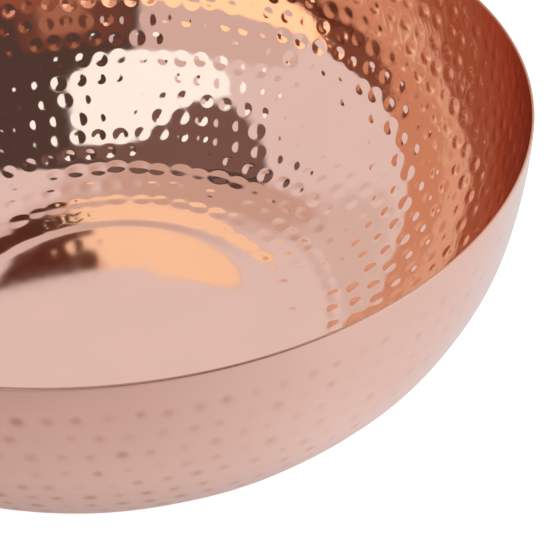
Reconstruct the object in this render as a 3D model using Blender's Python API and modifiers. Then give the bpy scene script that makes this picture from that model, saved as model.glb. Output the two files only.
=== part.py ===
"""A hammered copper bowl: one formed copper sheet standing on four small rubber pads.

The sheet is a turned shell of four arcs that run smoothly into each other. Below a plain rim the
wall falls almost straight, rolls through a tighter shoulder, flattens along the base and ends in
a barely dished floor. The pads are stuck under that floor. The hammer marks are a surface finish
and aren't part of the solid.

Units are metres. The origin is at the centre of the plane that the pads stand on, and +Z is up.
"""

import math

import bpy

# The bowl's outer face, from the rim down. Slopes are measured from the vertical.
RIM_RADIUS = 0.150
SHEET_THICKNESS = 0.001
WALL_ARC_RADIUS = 0.168
SHOULDER_ARC_RADIUS = 0.0855
BASE_ARC_RADIUS = 0.155
RIM_SLOPE = math.radians(0.2)
WALL_END_SLOPE = math.radians(12.7)
SHOULDER_END_SLOPE = math.radians(74.8)
FLOOR_EDGE_SLOPE = math.radians(87.3)
LEVEL = math.radians(90.0)

# The pads and the film of glue that holds them
PAD_RADIUS = 0.006
PAD_HEIGHT = 0.002
PAD_EDGE_ROUNDING = 0.0004
PAD_CIRCLE_RADIUS = 0.040
GLUE_FILM = 0.0003
PAD_ANGLES = {"front": -90.0, "right": 0.0, "back": 90.0, "left": 180.0}

# How finely round shapes are cut into flat faces
BOWL_STEPS = 72
PAD_STEPS = 32
DEGREES_PER_FACET = 6.0
FEWEST_FACETS = 4
SHARP_ANGLE = math.radians(30.0)
MERGE_DISTANCE = 0.00001

BOWL_NAME = "hammered_copper_bowl"


def clear_scene():
    for obj in list(bpy.data.objects):
        bpy.data.objects.remove(obj, do_unlink=True)


def make_collection(name):
    collection = bpy.data.collections.new(name)
    bpy.context.scene.collection.children.link(collection)
    return collection


def make_material(name, colour, roughness, metallic):
    material = bpy.data.materials.new(name)
    material.use_nodes = True
    shader = material.node_tree.nodes["Principled BSDF"]
    shader.inputs["Base Color"].default_value = (*colour, 1.0)
    shader.inputs["Roughness"].default_value = roughness
    shader.inputs["Metallic"].default_value = metallic
    return material


def falling_arc(start, radius, slope_from, slope_to):
    """Points after start on an arc that falls and turns towards the axis."""
    facets = max(FEWEST_FACETS, round(math.degrees(slope_to - slope_from) / DEGREES_PER_FACET))
    points = []
    for i in range(1, facets + 1):
        slope = slope_from + (slope_to - slope_from) * i / facets
        x = start[0] - radius * (math.cos(slope_from) - math.cos(slope))
        z = start[1] - radius * (math.sin(slope) - math.sin(slope_from))
        points.append((x, z))
    return points


def bowl_outline():
    """The outer face as (x, z) points from the rim to the axis, with the rim at z = 0."""
    outline = [(RIM_RADIUS, 0.0)]
    outline += falling_arc(outline[-1], WALL_ARC_RADIUS, RIM_SLOPE, WALL_END_SLOPE)
    outline += falling_arc(outline[-1], SHOULDER_ARC_RADIUS, WALL_END_SLOPE, SHOULDER_END_SLOPE)
    outline += falling_arc(outline[-1], BASE_ARC_RADIUS, SHOULDER_END_SLOPE, FLOOR_EDGE_SLOPE)
    outline += falling_arc(outline[-1], floor_arc_radius(outline[-1][0]), FLOOR_EDGE_SLOPE, LEVEL)
    return outline


def floor_arc_radius(floor_radius):
    """The radius of the floor's arc, which meets the axis level."""
    return floor_radius / math.cos(FLOOR_EDGE_SLOPE)


def floor_rise(outline, radius):
    """How far the dished floor's underside stands above its middle at a radius."""
    floor_edge = outline[-1 - FEWEST_FACETS][0]
    arc_radius = floor_arc_radius(floor_edge)
    return arc_radius - math.sqrt(arc_radius**2 - radius**2)


def make_bowl_shell(collection, parent):
    outline = bowl_outline()
    pad_inner_edge = PAD_CIRCLE_RADIUS - PAD_RADIUS
    floor_underside = PAD_HEIGHT + GLUE_FILM - floor_rise(outline, pad_inner_edge)
    lift = floor_underside - outline[-1][1]
    mesh = bpy.data.meshes.new("bowl_shell")
    corners = [(x, 0.0, z + lift) for x, z in outline]
    corners[-1] = (0.0, 0.0, floor_underside)
    mesh.from_pydata(corners, [(i, i + 1) for i in range(len(corners) - 1)], [])
    shell = bpy.data.objects.new("bowl_shell", mesh)
    shell.parent = parent
    collection.objects.link(shell)

    turn = shell.modifiers.new("Turn", "SCREW")
    turn.axis = "Z"
    turn.angle = math.tau
    turn.steps = BOWL_STEPS
    turn.render_steps = BOWL_STEPS
    turn.use_merge_vertices = True
    turn.merge_threshold = MERGE_DISTANCE
    turn.use_smooth_shade = True

    sheet = shell.modifiers.new("Sheet", "SOLIDIFY")
    sheet.thickness = SHEET_THICKNESS
    sheet.offset = -1.0
    sheet.use_even_offset = True

    mesh.materials.append(make_material("polished_copper", (0.86, 0.50, 0.37), 0.12, 1.0))
    return shell


def make_base_pad(collection, parent, side, rubber):
    angle = math.radians(PAD_ANGLES[side])
    bpy.ops.mesh.primitive_cylinder_add(vertices=PAD_STEPS, radius=PAD_RADIUS, depth=PAD_HEIGHT)
    pad = bpy.context.object
    pad.name = f"base_pad_{side}"
    pad.data.name = pad.name
    for other in list(pad.users_collection):
        other.objects.unlink(pad)
    collection.objects.link(pad)
    pad.parent = parent
    pad.location = (
        PAD_CIRCLE_RADIUS * math.cos(angle),
        PAD_CIRCLE_RADIUS * math.sin(angle),
        PAD_HEIGHT / 2,
    )

    rounding = pad.modifiers.new("Rounded edges", "BEVEL")
    rounding.width = PAD_EDGE_ROUNDING
    rounding.segments = 2
    rounding.limit_method = "ANGLE"

    pad.data.materials.append(rubber)
    pad.data.shade_smooth()
    pad.data.set_sharp_from_angle(angle=SHARP_ANGLE)
    return pad


def main():
    clear_scene()
    collection = make_collection(BOWL_NAME)
    stand = bpy.data.objects.new(f"{BOWL_NAME}_origin", None)
    collection.objects.link(stand)

    make_bowl_shell(collection, stand)
    rubber = make_material("pad_rubber", (0.05, 0.045, 0.04), 0.7, 0.0)
    for side in PAD_ANGLES:
        make_base_pad(collection, stand, side, rubber)


main()
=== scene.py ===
"""A hammered copper bowl on a pale table in a soft studio.

The hammered sheet stands for the frame's plain shell and follows the same outline. Each hammer
mark is a dent outside and the matching boss inside. The sheet is equally thick everywhere but at
the base, where its inner face is a little higher.
Lengths are in metres. Azimuths run from +X towards +Y, and the camera stands at azimuth 270.
"""

import math

import bpy
import numpy as np
from mathutils import Matrix, Vector


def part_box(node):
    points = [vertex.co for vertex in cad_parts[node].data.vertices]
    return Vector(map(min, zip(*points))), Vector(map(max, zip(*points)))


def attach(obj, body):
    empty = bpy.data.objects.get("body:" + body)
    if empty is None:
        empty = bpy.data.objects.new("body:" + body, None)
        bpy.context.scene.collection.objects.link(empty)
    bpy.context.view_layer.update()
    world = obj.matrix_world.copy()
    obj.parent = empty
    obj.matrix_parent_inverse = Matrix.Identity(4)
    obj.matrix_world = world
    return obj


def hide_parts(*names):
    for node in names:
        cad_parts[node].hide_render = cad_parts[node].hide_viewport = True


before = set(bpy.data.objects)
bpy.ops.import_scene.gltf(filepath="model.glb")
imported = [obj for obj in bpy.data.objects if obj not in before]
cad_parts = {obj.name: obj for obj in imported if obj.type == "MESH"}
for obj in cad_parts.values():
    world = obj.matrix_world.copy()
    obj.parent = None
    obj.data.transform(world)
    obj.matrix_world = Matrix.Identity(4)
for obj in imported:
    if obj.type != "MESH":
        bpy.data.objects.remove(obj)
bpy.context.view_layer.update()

SHELL_LOW, SHELL_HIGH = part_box("bowl_shell")
RIM_RADIUS = (SHELL_HIGH.x - SHELL_LOW.x) / 2
RIM_HEIGHT = SHELL_HIGH.z

# The sheet's outer face is four arcs: radii as shares of the rim radius, slopes from the vertical.
SHEET_THICKNESS = 0.001
WALL_ARC = 1.12
SHOULDER_ARC = 0.57
BASE_ARC = 0.155 / 0.150
RIM_SLOPE = math.radians(0.2)
WALL_END_SLOPE = math.radians(12.7)
SHOULDER_END_SLOPE = math.radians(74.8)
FLOOR_EDGE_SLOPE = math.radians(87.3)
LEVEL = math.radians(90.0)
ARC_STEPS = 300

# Hammer marks: rings down the wall from just under the plain rim to the edge of the floor
FIRST_RING = 0.0128
RING_PITCH = 0.0084
MARK_PITCH = 0.0087
INNERMOST_MARKS = 0.43
MARK_RADIUS = 0.0036
RADIUS_RANGE = (0.82, 1.12)
MARK_HEIGHT = 0.00031
HEIGHT_RANGE = (0.45, 1.2)
MARK_JITTER = 0.0005
RING_JITTER = 0.00035
# No mark of a ring reaches further than this many mark radii up or down the wall.
REACH = 1.7
# On the wall the blows were harder on one side; the swing grows from the base's edge outwards.
HAMMERING_MEAN = 0.88
HAMMERING_SWING = 0.3
HARDEST_AZIMUTH = math.radians(120)
SWING_FROM = 0.6
SWING_TO = 0.7
# Marks are shallower near the rim and along the base: radii and mark heights, as shares.
FADE_RADII = (0.45, 0.52, 0.54, 0.66, 0.71, 0.91, 0.97)
FADE_HEIGHTS = (0.25, 0.35, 0.8, 0.8, 1.0, 1.0, 0.75)
# Marks near the floor run together: radii and lengths round the bowl, as shares.
STRETCH_RADII = (0.60, 0.66)
STRETCHES = (1.6, 1.0)

# Two ridges where the innermost rings of blows ran together: arc lengths and heights
RIDGES = ((0.1408, 0.00002), (0.1508, 0.00010))
RIDGE_HALF_WIDTH = 0.0045

# Inside, planishing left the base a little thicker within a ring, with a low swelling on its
# right side. Radii are shares of the rim radius.
LIFT_HEIGHT = 0.0008
LIFT_FROM = 0.405
LIFT_TO = 0.545
SWELLING_HEIGHT = 0.0005
SWELLING_FROM = 0.25
SWELLING_TO = 0.40
SWELLING_RISE = 0.25
SWELLING_AZIMUTH = math.radians(10)
SWELLING_HALF_SPREAD = math.radians(60)

# Slow waviness of the wall: it fades towards the plain rim and the floor.
WAVE_SLOPE = 0.009
WAVE_COUNT = 14
WAVE_LENGTHS = (0.018, 0.045)
WAVE_RADIUS = 0.65
WAVES_END = 0.33
WAVES_FULL = 0.58
RIM_FADE = 0.012

# Mesh density, and the lip's rows that show the cut edge
RIM_COLUMNS = 1280
FEWEST_COLUMNS = 20
HALVING_MARGIN = 1.15
CLOSING_RADIUS = 0.004
ROW_PITCH = 0.00075
OUTSIDE_ROW_PITCH = 0.0012
LIP_STEPS = 6
CUT_EDGE_ROWS = (0, 4)

COPPER = (0.955, 0.638, 0.538)
BLACK = (0.0, 0.0, 0.0)
WHITE = (1.0, 1.0, 1.0)

# Light kept at the second, third, fourth and fifth mirroring inside the bowl
MIRRORING_TINTS = ((1.0, 0.97, 0.79), (0.85, 0.65, 0.62), (0.98, 0.82, 0.80), (0.68, 0.78, 0.95))


def smooth(t):
    """0 below 0, 1 above 1, and a smooth rise between."""
    t = min(max(t, 0.0), 1.0)
    return t * t * (3 - 2 * t)


# ---------------------------------------------------------------- the sheet's outline


def falling_arc(start, radius, slope_from, slope_to):
    """Points (r, z, slope) after start on an arc that falls and turns towards the axis."""
    points = []
    for i in range(1, ARC_STEPS + 1):
        slope = slope_from + (slope_to - slope_from) * i / ARC_STEPS
        r = start[0] - radius * (math.cos(slope_from) - math.cos(slope))
        z = start[1] - radius * (math.sin(slope) - math.sin(slope_from))
        points.append((r, z, slope))
    return points


def outline():
    """The outer face from the rim to the axis: arrays of arc length, r, z and slope."""
    size = RIM_RADIUS
    points = [(size, RIM_HEIGHT, RIM_SLOPE)]
    points += falling_arc(points[-1], WALL_ARC * size, RIM_SLOPE, WALL_END_SLOPE)
    points += falling_arc(points[-1], SHOULDER_ARC * size, WALL_END_SLOPE, SHOULDER_END_SLOPE)
    points += falling_arc(points[-1], BASE_ARC * size, SHOULDER_END_SLOPE, FLOOR_EDGE_SLOPE)
    floor_arc = points[-1][0] / math.cos(FLOOR_EDGE_SLOPE)
    points += falling_arc(points[-1], floor_arc, FLOOR_EDGE_SLOPE, LEVEL)
    r, z, slope = np.array(points).T
    length = np.concatenate([[0.0], np.cumsum(np.hypot(np.diff(r), np.diff(z)))])
    return length, r, z, slope


LENGTH, OUTLINE_R, OUTLINE_Z, OUTLINE_SLOPE = outline()


def at_length(s):
    """Radius, height and slope of the outer face at arc lengths s from the rim."""
    return (
        np.interp(s, LENGTH, OUTLINE_R),
        np.interp(s, LENGTH, OUTLINE_Z),
        np.interp(s, LENGTH, OUTLINE_SLOPE),
    )


# ---------------------------------------------------------------- hammering


def hammer_rings(rng):
    """The marks of each ring: arc length, azimuths, offsets down the wall, radii, heights, stretch."""
    rings = []
    s = FIRST_RING
    while at_length(s)[0] > INNERMOST_MARKS * RIM_RADIUS:
        r = at_length(s)[0]
        count = round(math.tau * r / MARK_PITCH)
        azimuth = rng.uniform(0, math.tau) + math.tau * np.arange(count) / count
        azimuth = np.mod(azimuth + rng.normal(0, MARK_JITTER, count) / r, math.tau)
        offset = rng.normal(0, RING_JITTER, count)
        radius = MARK_RADIUS * rng.uniform(*RADIUS_RANGE, count)
        full = MARK_HEIGHT * np.interp(r / RIM_RADIUS, FADE_RADII, FADE_HEIGHTS)
        height = full * rng.uniform(*HEIGHT_RANGE, count)
        swing = HAMMERING_SWING * smooth((r / RIM_RADIUS - SWING_FROM) / (SWING_TO - SWING_FROM))
        height *= HAMMERING_MEAN + swing * np.cos(np.sort(azimuth) - HARDEST_AZIMUTH)
        stretch = np.interp(r / RIM_RADIUS, STRETCH_RADII, STRETCHES)
        rings.append((s, np.sort(azimuth), offset, radius, height, stretch))
        s += RING_PITCH
    return rings


def slow_waves(rng):
    """Long waves left in the sheet: (length, turns round the bowl, waves per metre, start)."""
    waves = []
    for _ in range(WAVE_COUNT):
        length = rng.uniform(*WAVE_LENGTHS)
        heading = rng.uniform(0, math.tau)
        turns = round(math.cos(heading) * math.tau * WAVE_RADIUS * RIM_RADIUS / length)
        waves.append((length, turns, math.sin(heading) / length, rng.uniform(0, math.tau)))
    return waves


RINGS = hammer_rings(np.random.default_rng(7))
WAVES = slow_waves(np.random.default_rng(11))


def wave_depth(s, azimuth):
    """How far the slow waves push the sheet in at arc length s, for each azimuth."""
    depth = np.zeros_like(azimuth)
    for length, turns, rate, start in WAVES:
        depth += length / math.tau * np.cos(turns * azimuth + math.tau * rate * s + start)
    r = at_length(s)[0] / RIM_RADIUS
    fade = smooth((r - WAVES_END) / (WAVES_FULL - WAVES_END)) * smooth(s / RIM_FADE)
    return depth * WAVE_SLOPE * math.sqrt(2 / WAVE_COUNT) * fade


def ridge_depth(s):
    """How far the two ridges push the sheet in at arc length s."""
    depth = 0.0
    for crest, height in RIDGES:
        away = (s - crest) / RIDGE_HALF_WIDTH
        depth += height * max(1 - away * away, 0.0) ** 2
    return depth


def planished_depth(s, azimuth):
    """How much higher the base's inner face is at arc length s, for each azimuth."""
    share = at_length(s)[0] / RIM_RADIUS
    lift = LIFT_HEIGHT * smooth((LIFT_TO - share) / (LIFT_TO - LIFT_FROM))
    swelling = SWELLING_HEIGHT * smooth((SWELLING_TO - share) / (SWELLING_TO - SWELLING_FROM))
    away = np.angle(np.exp(1j * (azimuth - SWELLING_AZIMUTH))) / SWELLING_HALF_SPREAD
    spread = np.clip(1 - away**2, 0, None) ** 2
    return lift + swelling * smooth(share / SWELLING_RISE) * spread


def mark_depth(s, azimuth):
    """How far the marks push the sheet in at arc length s, for each azimuth."""
    depth = np.zeros_like(azimuth)
    r = at_length(s)[0]
    for ring_s, centres, offset, radius, height, stretch in RINGS:
        if abs(s - ring_s) > REACH * MARK_RADIUS:
            continue
        after = np.searchsorted(centres, azimuth) % len(centres)
        for pick in (after - 1, after):
            across = np.angle(np.exp(1j * (azimuth - centres[pick]))) * r / stretch
            along = s - ring_s - offset[pick]
            share = np.clip(1 - (across**2 + along**2) / radius[pick] ** 2, 0, None)
            depth += height[pick] * share**2
    return depth


def sheet_depth(s, azimuth):
    """How far both faces are pushed in at arc length s, for each azimuth."""
    return wave_depth(s, azimuth) + ridge_depth(s) + mark_depth(s, azimuth)


# ---------------------------------------------------------------- the sheet's mesh


def columns_at(r, finest):
    """Columns in a ring: halved towards the axis while they stay about as close as at the rim."""
    columns = finest
    while columns > FEWEST_COLUMNS and r / RIM_RADIUS * finest * HALVING_MARGIN < columns / 2:
        columns //= 2
    return columns


def azimuths_at(s, finest):
    """The azimuths of the points in the ring at arc length s."""
    columns = columns_at(at_length(s)[0], finest)
    return math.tau * np.arange(columns) / columns


def face_ring(s, inside, finest):
    """A ring of points on the inner or outer face."""
    r, z, slope = at_length(s)
    azimuth = azimuths_at(s, finest)
    inward = sheet_depth(s, azimuth)
    if inside:
        inward += SHEET_THICKNESS + planished_depth(s, azimuth)
    return ring_points(r - inward * math.cos(slope), z + inward * math.sin(slope), azimuth)


def ring_points(radius, height, azimuth):
    """A ring's points, from one radius and height for all azimuths or for each."""
    height = np.broadcast_to(height, azimuth.shape)
    return np.column_stack([radius * np.cos(azimuth), radius * np.sin(azimuth), height])


def lip_rings():
    """The rim's rounded edge, from the inner face over the top to the outer face."""
    half = SHEET_THICKNESS / 2
    azimuth = math.tau * np.arange(RIM_COLUMNS) / RIM_COLUMNS
    rings = []
    for i in range(1, LIP_STEPS):
        turn = math.pi * i / LIP_STEPS
        radius = RIM_RADIUS - half - half * math.cos(turn)
        rings.append(ring_points(radius, RIM_HEIGHT - half + half * math.sin(turn), azimuth))
    return rings


def joined(first, second, a, b):
    """Faces between rings of a and b points that start at the indexes first and second."""
    if a == b:
        i = np.arange(a)
        j = (i + 1) % a
        return np.column_stack([first + i, first + j, second + j, second + i]).tolist()
    if a < b:
        return [face[::-1] for face in joined(second, first, b, a)]
    faces = []
    for i in range(b):
        left, middle, right = 2 * i, 2 * i + 1, (2 * i + 2) % a
        faces.append([first + left, first + middle, second + i])
        faces.append([first + middle, second + (i + 1) % b, second + i])
        faces.append([first + middle, first + right, second + (i + 1) % b])
    return faces


def stack_rings(rings, first_end, last_end):
    """A closed mesh from rings of points and the two middle points that close it."""
    starts = np.cumsum([0] + [len(ring) for ring in rings])
    points = np.vstack(rings + [[first_end], [last_end]])
    faces = []
    for k in range(len(rings) - 1):
        faces += joined(starts[k], starts[k + 1], len(rings[k]), len(rings[k + 1]))
    count = len(rings[0])
    faces += [[starts[-1], (i + 1) % count, i] for i in range(count)]
    last, count = starts[-2], len(rings[-1])
    faces += [[starts[-1] + 1, last + i, last + (i + 1) % count] for i in range(count)]
    return points, faces


def make_sheet():
    """The hammered sheet, with material 0 inside, 1 outside and 2 on the cut edge."""
    lip = SHEET_THICKNESS / 2
    end = LENGTH[-1] - CLOSING_RADIUS
    inner = [face_ring(s, True, RIM_COLUMNS) for s in np.arange(end, lip, -ROW_PITCH)]
    outer = [face_ring(lip, False, RIM_COLUMNS)]
    dents = [np.zeros(RIM_COLUMNS)]
    for s in np.arange(lip + OUTSIDE_ROW_PITCH, end, OUTSIDE_ROW_PITCH):
        outer.append(face_ring(s, False, RIM_COLUMNS // 2))
        dents.append(mark_depth(s, azimuths_at(s, RIM_COLUMNS // 2)) / MARK_HEIGHT)
    floor = OUTLINE_Z[-1]
    middle = floor + SHEET_THICKNESS + LIFT_HEIGHT
    rings = inner + lip_rings() + outer
    points, faces = stack_rings(rings, (0, 0, middle), (0, 0, floor))
    mesh = bpy.data.meshes.new("hammered_sheet")
    mesh.from_pydata(points, [], faces)
    # the rings were joined with their faces turned into the metal
    mesh.flip_normals()
    mesh.shade_smooth()

    first_lip = sum(len(ring) for ring in inner)
    first_outer = first_lip + (LIP_STEPS - 1) * RIM_COLUMNS
    lowest = np.array([min(polygon.vertices) for polygon in mesh.polygons])
    edge_from = first_lip + CUT_EDGE_ROWS[0] * RIM_COLUMNS
    edge_to = first_lip + CUT_EDGE_ROWS[1] * RIM_COLUMNS
    side = np.zeros(len(lowest), np.int32)
    side[(lowest >= edge_from) & (lowest < edge_to)] = 2
    side[lowest >= edge_to] = 1
    mesh.polygons.foreach_set("material_index", side)
    dent = np.zeros(len(points))
    dent[first_outer : len(points) - 2] = np.concatenate(dents)
    mesh.attributes.new("dent", "FLOAT", "POINT").data.foreach_set("value", dent)
    sheet = bpy.data.objects.new("hammered_sheet", mesh)
    bpy.context.scene.collection.objects.link(sheet)
    return sheet


# ---------------------------------------------------------------- materials


class Nodes:
    """Helpers that add nodes to a material's or a world's tree."""

    def __init__(self, tree):
        self.tree = tree

    def add(self, kind):
        return self.tree.nodes.new(kind)

    def feed(self, socket, value):
        """Links an output to a socket, or sets the socket to a number or a colour."""
        if isinstance(value, bpy.types.NodeSocket):
            self.tree.links.new(value, socket)
        elif isinstance(value, tuple):
            socket.default_value = (*value, 1)
        else:
            socket.default_value = value

    def maths(self, operation, *values):
        node = self.add("ShaderNodeMath")
        node.operation = operation
        for socket, value in zip(node.inputs, values):
            self.feed(socket, value)
        return node.outputs[0]

    def mixed(self, share, first, second, blend_type="MIX"):
        """A mix of two colours; MULTIPLY darkens the first by the second."""
        node = self.add("ShaderNodeMix")
        node.data_type = "RGBA"
        node.blend_type = blend_type
        self.feed(node.inputs["Factor"], share)
        self.feed(node.inputs[6], first)
        self.feed(node.inputs[7], second)
        return node.outputs[2]

    def light_path(self, name):
        return self.add("ShaderNodeLightPath").outputs[name]


class Surface(Nodes):
    """A node material with helpers for patterns in object space."""

    def __init__(self, name):
        self.material = bpy.data.materials.new(name)
        self.material.use_nodes = True
        super().__init__(self.material.node_tree)
        self.shader = self.tree.nodes["Principled BSDF"]
        self.place = self.add("ShaderNodeTexCoord").outputs["Object"]

    def set(self, name, value):
        """Sets one of the shader's inputs to a number, a colour or a pattern."""
        self.feed(self.shader.inputs[name], value)

    def axis(self, number):
        """The place's coordinate along X, Y or Z for number 0, 1 or 2."""
        node = self.add("ShaderNodeSeparateXYZ")
        self.feed(node.inputs[0], self.place)
        return node.outputs[number]

    def noise(self, scale):
        node = self.add("ShaderNodeTexNoise")
        self.feed(node.inputs["Vector"], self.place)
        node.inputs["Scale"].default_value = scale
        node.inputs["Detail"].default_value = 3.0
        return node.outputs["Fac"]

    def attribute(self, name):
        node = self.add("ShaderNodeAttribute")
        node.attribute_name = name
        return node.outputs["Fac"]

    def spread(self, value, low, high, centre=0.5, reach=0.25):
        """Maps a pattern from centre - reach..centre + reach to low..high, and no further."""
        node = self.add("ShaderNodeMapRange")
        self.feed(node.inputs["Value"], value)
        node.inputs["From Min"].default_value = centre - reach
        node.inputs["From Max"].default_value = centre + reach
        node.inputs["To Min"].default_value = low
        node.inputs["To Max"].default_value = high
        return node.outputs[0]

    def grazing(self, low, high):
        """0 where the surface faces the eye, rising to 1 where it is seen edge on."""
        node = self.add("ShaderNodeLayerWeight")
        node.inputs["Blend"].default_value = 0.5
        return self.spread(node.outputs["Facing"], 0, 1, (low + high) / 2, (high - low) / 2)

    def blend(self, pattern, first, second):
        return self.mixed(self.spread(pattern, 0, 1), first, second)

    def bump(self, height, distance):
        node = self.add("ShaderNodeBump")
        node.inputs["Strength"].default_value = 1.0
        node.inputs["Distance"].default_value = distance
        self.feed(node.inputs["Height"], height)
        self.set("Normal", node.outputs[0])


def polished_copper():
    """The inside: a mirror with a faint haze."""
    surface = Surface("polished_copper")
    surface.set("Metallic", 1.0)
    darker = tuple(0.97 * part for part in COPPER)
    surface.set("Base Color", surface.blend(surface.noise(35.0), darker, COPPER))
    surface.set("Roughness", surface.spread(surface.noise(140.0), 0.05, 0.08))
    return surface.material


def satin_copper():
    """The outside: satin and faintly clouded; painted shade in the dents, painted sheen edge on at the
    right.
    """
    # darker copper for the painted shade in the dents and for the faint random clouding
    dent_shade_and_cloud_copper = (0.72, 0.41, 0.32)
    # paler copper for the painted sheen at the right
    painted_sheen_copper = (0.82, 0.74, 0.71)
    surface = Surface("satin_copper")
    surface.set("Metallic", 1.0)
    cloud = surface.spread(surface.noise(18.0), 0.0, 0.2)
    # painted shade in the dents from about half the depth of a usual mark on, and less towards the
    # right
    dent = surface.maths("POWER", surface.maths("MULTIPLY", surface.attribute("dent"), 2.1), 2.0)
    # one-sided painted shade: full at the left, about a third as strong towards +X
    left = surface.spread(surface.axis(0), 1.0, 0.35, centre=0.02, reach=0.09)
    dent_shade_and_cloud = surface.maths("ADD", surface.maths("MULTIPLY", dent, left), cloud)
    # painted sheen: beyond about x = 80 mm the copper turns paler where seen edge on, standing for a
    # reflection
    right = surface.spread(surface.axis(0), 0, 1, centre=0.11, reach=0.03)
    pale = surface.maths("MULTIPLY", surface.grazing(0.62, 0.95), right)
    colour = surface.mixed(dent_shade_and_cloud, COPPER, dent_shade_and_cloud_copper)
    surface.set("Base Color", surface.mixed(pale, colour, painted_sheen_copper))
    surface.set("Roughness", 0.275)
    return surface.material


def cut_edge_copper():
    """The rim's cut edge: a darker copper, rough and finely grained."""
    surface = Surface("cut_edge_copper")
    surface.set("Metallic", 1.0)
    grain = surface.noise(900.0)
    surface.set("Base Color", surface.blend(grain, (0.56, 0.32, 0.25), (0.64, 0.37, 0.29)))
    surface.set("Roughness", surface.spread(grain, 0.35, 0.5))
    return surface.material


def pad_rubber():
    """The pads: dark, matt and grained."""
    surface = Surface("pad_rubber_grained")
    grain = surface.noise(2500.0)
    surface.set("Base Color", surface.blend(grain, (0.030, 0.028, 0.026), (0.060, 0.056, 0.052)))
    surface.set("Roughness", surface.spread(grain, 0.6, 0.8))
    surface.bump(grain, 0.00005)
    return surface.material


# ---------------------------------------------------------------- studio


def toward(azimuth, elevation):
    """A direction from its azimuth and elevation in degrees."""
    a, e = math.radians(azimuth), math.radians(elevation)
    return Vector((math.cos(a) * math.cos(e), math.sin(a) * math.cos(e), math.sin(e)))


class Studio(Nodes):
    """World nodes: cards of light and shade by direction, and a plain backdrop for the camera."""

    def __init__(self, wall):
        self.world = bpy.data.worlds.new("Studio")
        self.world.use_nodes = True
        super().__init__(self.world.node_tree)
        self.tree.nodes.clear()
        self.direction = self.add("ShaderNodeTexCoord").outputs["Generated"]
        self.colour = self.add("ShaderNodeRGB").outputs[0]
        self.feed(self.colour, wall)

    def step(self, value, low, high):
        """0 below low and 1 above high, with a smooth ramp between."""
        node = self.add("ShaderNodeMapRange")
        node.interpolation_type = "SMOOTHSTEP"
        self.feed(node.inputs["Value"], value)
        node.inputs["From Min"].default_value = low
        node.inputs["From Max"].default_value = high
        return node.outputs[0]

    def dot(self, axis):
        node = self.add("ShaderNodeVectorMath")
        node.operation = "DOT_PRODUCT"
        self.feed(node.inputs[0], self.direction)
        node.inputs[1].default_value = axis
        return node.outputs["Value"]

    def paint(self, mask, colour):
        """Puts a colour over the studio where the mask is 1."""
        self.colour = self.mixed(mask, self.colour, colour)

    def tint(self, mask, share):
        """Multiplies the light by a colour where the mask is 1."""
        self.colour = self.mixed(mask, self.colour, share, "MULTIPLY")

    def card(self, corners, colour, soft=2.0, when=None):
        """A patch whose corners are (azimuth, elevation) in degrees, in order round a convex shape."""
        ways = [toward(*corner) for corner in corners]
        middle = sum(ways, Vector()) / len(ways)
        half = math.sin(math.radians(soft / 2))
        mask = when
        for here, there in zip(ways, ways[1:] + ways[:1]):
            across = here.cross(there).normalized()
            across = across if across.dot(middle) > 0 else -across
            side = self.step(self.dot(across), -half, half)
            mask = side if mask is None else self.maths("MULTIPLY", mask, side)
        self.paint(mask, colour)

    def finish(self, backdrop):
        """Shows the camera a plain backdrop and makes this the scene's world."""
        self.paint(self.light_path("Is Camera Ray"), backdrop)
        background = self.add("ShaderNodeBackground")
        output = self.add("ShaderNodeOutputWorld")
        self.feed(background.inputs["Color"], self.colour)
        self.feed(output.inputs["Surface"], background.outputs[0])
        bpy.context.scene.world = self.world


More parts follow.
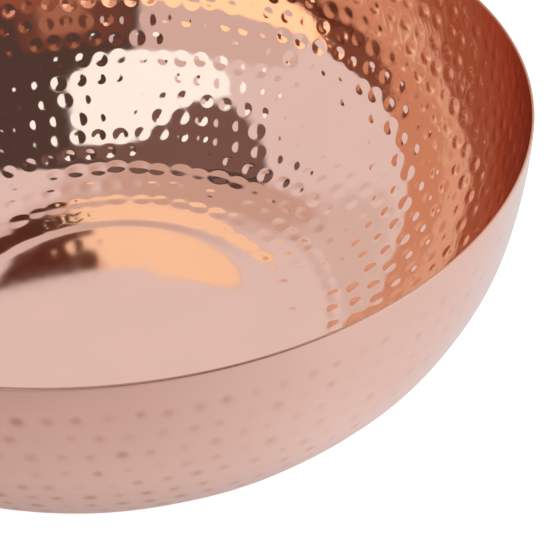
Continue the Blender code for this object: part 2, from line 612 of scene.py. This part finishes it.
def light_studio():
    """The room that the bowl mirrors, painted from back to front."""
    dark = (0.085, 0.06, 0.055)
    key = (1.08, 1.33, 1.36)
    studio = Studio(wall=(0.79, 0.765, 0.78))
    bounces = studio.light_path("Glossy Depth")
    seen_twice = studio.step(bounces, 1.2, 1.8)
    seen_once = studio.maths("SUBTRACT", 1, seen_twice)
    # the warm near side, the wall's warm upper part and the bright right side
    studio.card([(205, -5), (205, 33), (232, 37), (256, 37), (256, -5)], (0.68, 0.61, 0.585), soft=6)
    studio.card([(85, 48), (85, 80), (135, 64), (135, 45)], (0.61, 0.48, 0.41), soft=12)
    studio.card([(105, 28), (105, 46), (145, 46), (145, 28)], (0.70, 0.64, 0.61), soft=10)
    studio.card([(322, 3), (322, 50), (10, 55), (80, 45), (80, 3)], (1.75, 1.7, 1.6), soft=6)
    # the dark ceiling round the key light
    studio.card([(357, 48), (114, 75), (146, 61), (204, 54), (227, 58), (313, 37)], dark)
    studio.card([(114, 75), (128, 60), (146, 61)], dark)
    brown = (0.19, 0.125, 0.11)
    studio.card([(31, 82), (114, 74), (146, 61), (204, 54), (227, 58), (250, 80)], brown, soft=5)
    # the dark gap where the camera stands; the first mirroring sees more of it than the next ones
    studio.card([(274, -10), (274, 50), (322, 53), (322, -10)], dark)
    studio.card([(254, -10), (254, 36), (281, 53), (300, 53), (300, -10)], dark, when=seen_once)
    studio.card([(257, -10), (257, 30), (292, 30), (292, -10)], (0.16, 0.07, 0.05), 5, seen_once)
    studio.card([(270, 6), (270, 26), (284, 27), (284, 6)], (0.38, 0.19, 0.12), 6, seen_once)
    # the key light
    studio.card([(281, 53), (352, 86), (186, 85), (224, 60), (252, 36), (255, 36), (270, 42)], key)
    studio.card([(226, 60), (211, 50), (220, 41), (228, 37), (241, 36), (255, 36), (262, 45)], key)
    # the second mirroring meets a dim back wall and a dim front, and later ones an even glow
    studio.card([(100, 2), (100, 26), (150, 26), (150, 2)], (0.30, 0.17, 0.15), 5, seen_twice)
    studio.card([(215, 16), (234, 32), (268, 40), (277, 18)], (0.72, 0.58, 0.51), 3, seen_twice)
    studio.card([(274, -10), (274, 50), (322, 53), (322, -10)], (0.115, 0.052, 0.045), 2, seen_twice)
    studio.card([(278, 8), (278, 32), (320, 32), (320, 8)], (0.22, 0.13, 0.115), 5, seen_twice)
    seen_later = studio.step(bounces, 2.2, 2.8)
    studio.paint(seen_later, (0.44, 0.38, 0.34))
    studio.card([(0, 50), (90, 50), (180, 50), (270, 50)], (0.80, 0.68, 0.62), 60, seen_later)
    # each further mirroring loses light on the hammered wall
    for count, share in enumerate(MIRRORING_TINTS, 2):
        studio.tint(studio.step(bounces, count - 0.8, count - 0.2), share)
    studio.finish(backdrop=WHITE)


def shadow_spot(table):
    """1 on the table under the bowl and a little to its left, 0 further away."""
    offsets = (table.maths("ADD", table.axis(0), 0.03), table.axis(1))
    squares = [table.maths("POWER", offset, 2.0) for offset in offsets]
    distance = table.maths("SQRT", table.maths("ADD", *squares))
    return table.spread(distance, 1, 0, centre=0.118, reach=0.04)


def make_floor():
    """A pale table. Mirrored in the bowl it shows a painted glow that darkens towards the near left,
    and a painted shadow under the bowl.
    """
    dim = (0.385, 0.288, 0.248)
    bright = (0.775, 0.755, 0.775)
    shaded = (0.38, 0.31, 0.30)
    bpy.ops.mesh.primitive_circle_add(vertices=64, radius=4.0, fill_type="NGON")
    floor = bpy.context.object
    floor.name = "studio_floor"
    table = Surface("pale_table")
    seen = table.light_path("Is Camera Ray")
    rightward = table.maths("MULTIPLY", table.axis(0), 0.75)
    backward = table.maths("MULTIPLY", table.axis(1), 0.65)
    lit = table.spread(table.maths("ADD", rightward, backward), 0, 1, centre=-0.18, reach=0.17)
    # painted light: the table's glow, full for the camera and darker towards the near left when
    # mirrored
    glow = table.mixed(table.maths("MAXIMUM", lit, seen), dim, bright)
    # painted shadow under the bowl and a little to its left, for mirrored rays only
    shadow = table.maths("MULTIPLY", shadow_spot(table), table.maths("SUBTRACT", 1, seen))
    table.set("Base Color", table.mixed(seen, BLACK, (0.9, 0.9, 0.9)))
    table.set("Emission Color", table.mixed(shadow, glow, shaded))
    table.set("Emission Strength", 1.0)
    table.set("Roughness", 0.8)
    floor.data.materials.append(table.material)


def make_flag():
    """A dim glowing panel at the near left: painted shade, seen only by light that is mirrored just
    twice.
    """
    size = RIM_RADIUS
    corners = [(-3.5, 0.2), (-0.45, 0.2), (-0.45, 1.5), (-3.5, 1.5)]
    points = [(x * size, -size, RIM_HEIGHT + z * size) for x, z in corners]
    mesh = bpy.data.meshes.new("studio_flag")
    mesh.from_pydata(points, [], [(0, 1, 2, 3)])
    flag = bpy.data.objects.new("studio_flag", mesh)
    bpy.context.scene.collection.objects.link(flag)
    panel = Surface("flag_shade_panel")
    seen_twice = panel.maths("COMPARE", panel.light_path("Glossy Depth"), 2.0, 0.5)
    glow = panel.add("ShaderNodeEmission")
    panel.feed(glow.inputs["Color"], (0.68, 0.52, 0.38))
    clear = panel.add("ShaderNodeBsdfTransparent")
    mix = panel.add("ShaderNodeMixShader")
    for socket, value in zip(mix.inputs, (seen_twice, clear.outputs[0], glow.outputs[0])):
        panel.feed(socket, value)
    panel.feed(panel.tree.nodes["Material Output"].inputs["Surface"], mix.outputs[0])
    mesh.materials.append(panel.material)


# ---------------------------------------------------------------- camera


def make_camera():
    """A long lens 4 rim radii away and about 33 degrees up, aimed at the bowl's near right."""
    rim_centre = Vector((0, 0, RIM_HEIGHT))
    place = rim_centre + Vector((0, -3.371, 2.153)) * RIM_RADIUS
    aim = rim_centre + Vector((0.3227, -0.7219, 0)) * RIM_RADIUS
    roll = math.radians(-0.99)
    data = bpy.data.cameras.new("Camera")
    data.lens = 113.5
    data.sensor_width = 36
    camera = bpy.data.objects.new("Camera", data)
    bpy.context.scene.collection.objects.link(camera)
    turn = (aim - place).to_track_quat("-Z", "Y").to_matrix().to_4x4()
    camera.matrix_world = Matrix.Translation(place) @ turn @ Matrix.Rotation(roll, 4, "Z")
    bpy.context.scene.camera = camera


# ---------------------------------------------------------------- the whole scene


def main():
    sheet = make_sheet()
    for material in (polished_copper(), satin_copper(), cut_edge_copper()):
        sheet.data.materials.append(material)
    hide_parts("bowl_shell")
    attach(sheet, "root")

    rubber = pad_rubber()
    for name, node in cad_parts.items():
        if name.startswith("base_pad"):
            for slot in node.material_slots:
                slot.material = rubber

    light_studio()
    make_floor()
    make_flag()
    make_camera()
    bpy.context.scene.view_settings.view_transform = "Standard"
    bpy.context.scene.cycles.max_bounces = 12
    bpy.context.scene.cycles.glossy_bounces = 10


main()
